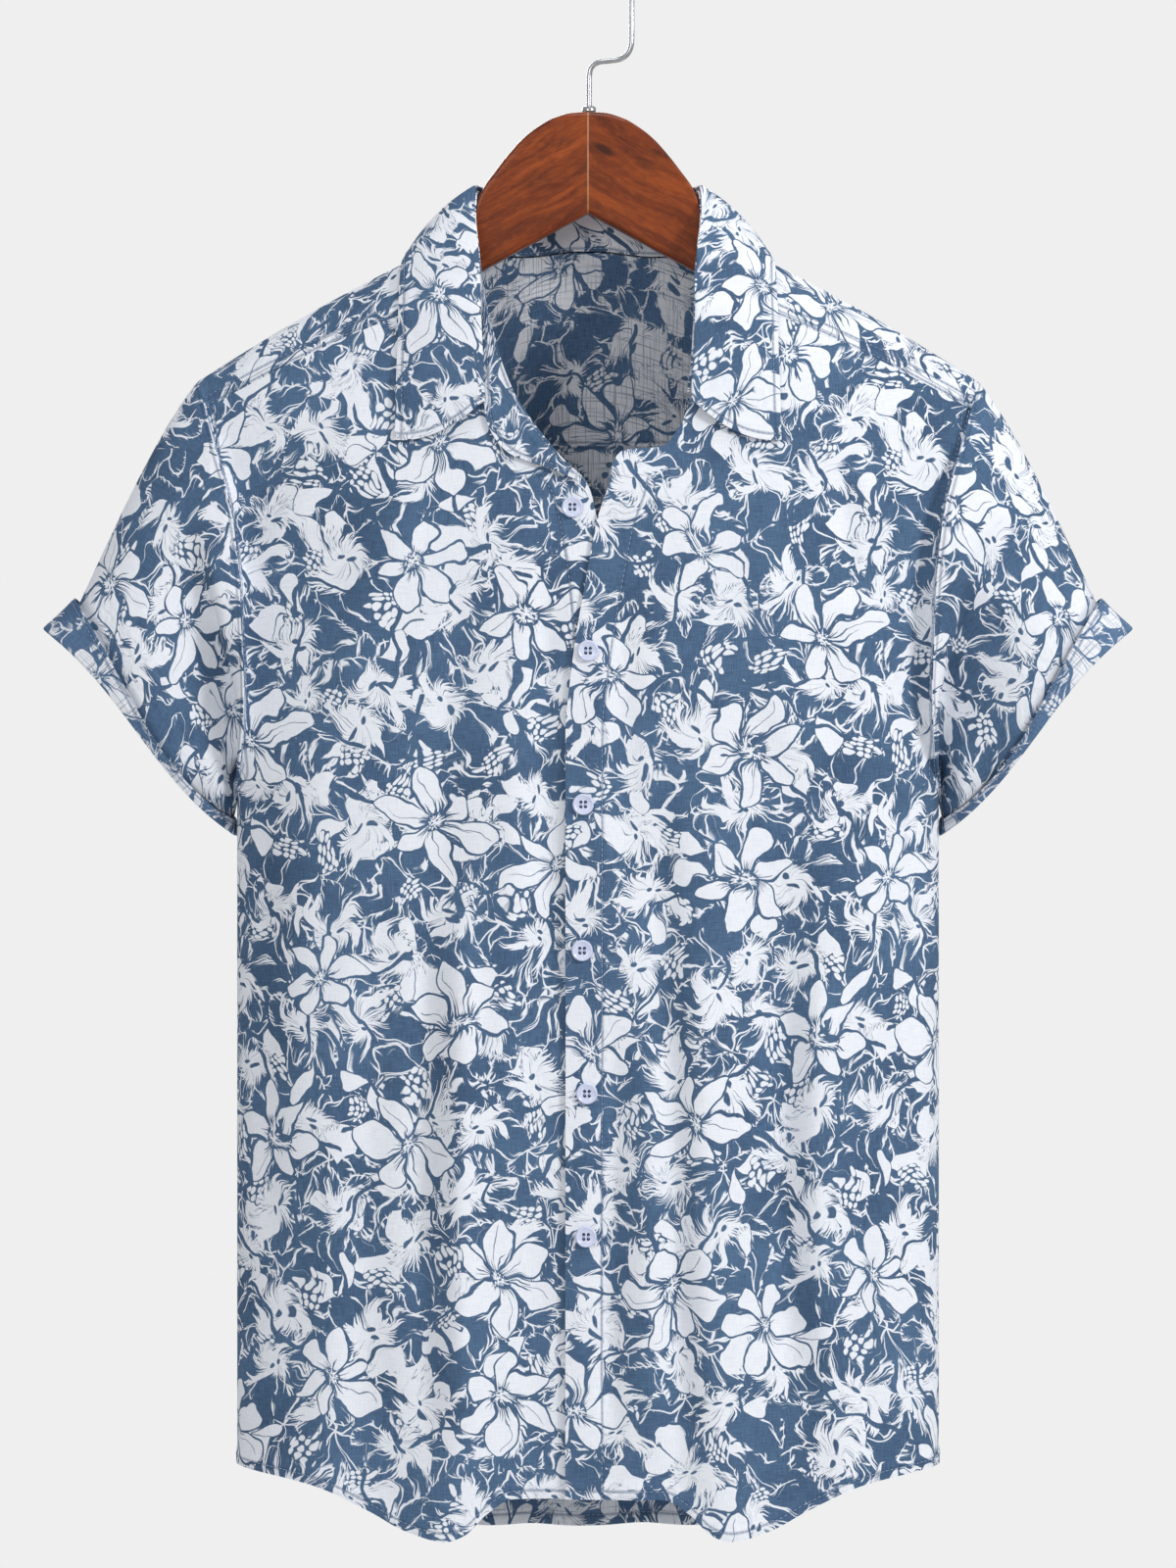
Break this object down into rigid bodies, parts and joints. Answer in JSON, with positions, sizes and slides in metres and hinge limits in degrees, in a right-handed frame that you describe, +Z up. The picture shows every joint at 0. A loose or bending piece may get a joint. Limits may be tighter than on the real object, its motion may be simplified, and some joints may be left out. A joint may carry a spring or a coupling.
{
  "type": "hawaiian shirt on a wooden hanger",
  "caption": "Short-sleeved floral button shirt with an open collar and turned-up cuffs, hanging on a shaped wooden hanger with a wire hook.",
  "frame": {"origin": "underside of the hook's crown, where the rail bears", "axes": "+Z up along the hanging height, -Y out of the shirt's front, +X towards the wearer's left"},
  "size_m": [0.6224, 0.1357, 0.9165],
  "materials": {
    "cloth": "printed plain weave",
    "button": "pearl",
    "wood": "varnished",
    "wire": "polished"
  },
  "bodies": {
    "root": {"front_right": "cloth", "front_left": "cloth", "back": "cloth", "yoke": "cloth", "sleeve_right": "cloth", "sleeve_left": "cloth", "cuff_right": "cloth", "cuff_left": "cloth", "collar_leaf": "cloth", "collar_stand": "cloth", "button_1": "button", "button_2": "button", "button_3": "button", "button_4": "button", "button_5": "button", "button_6": "button", "hanger_arm_right": "wood", "hanger_arm_left": "wood", "hook": "wire", "ferrule": "wire"}
  },
  "joints": []
}
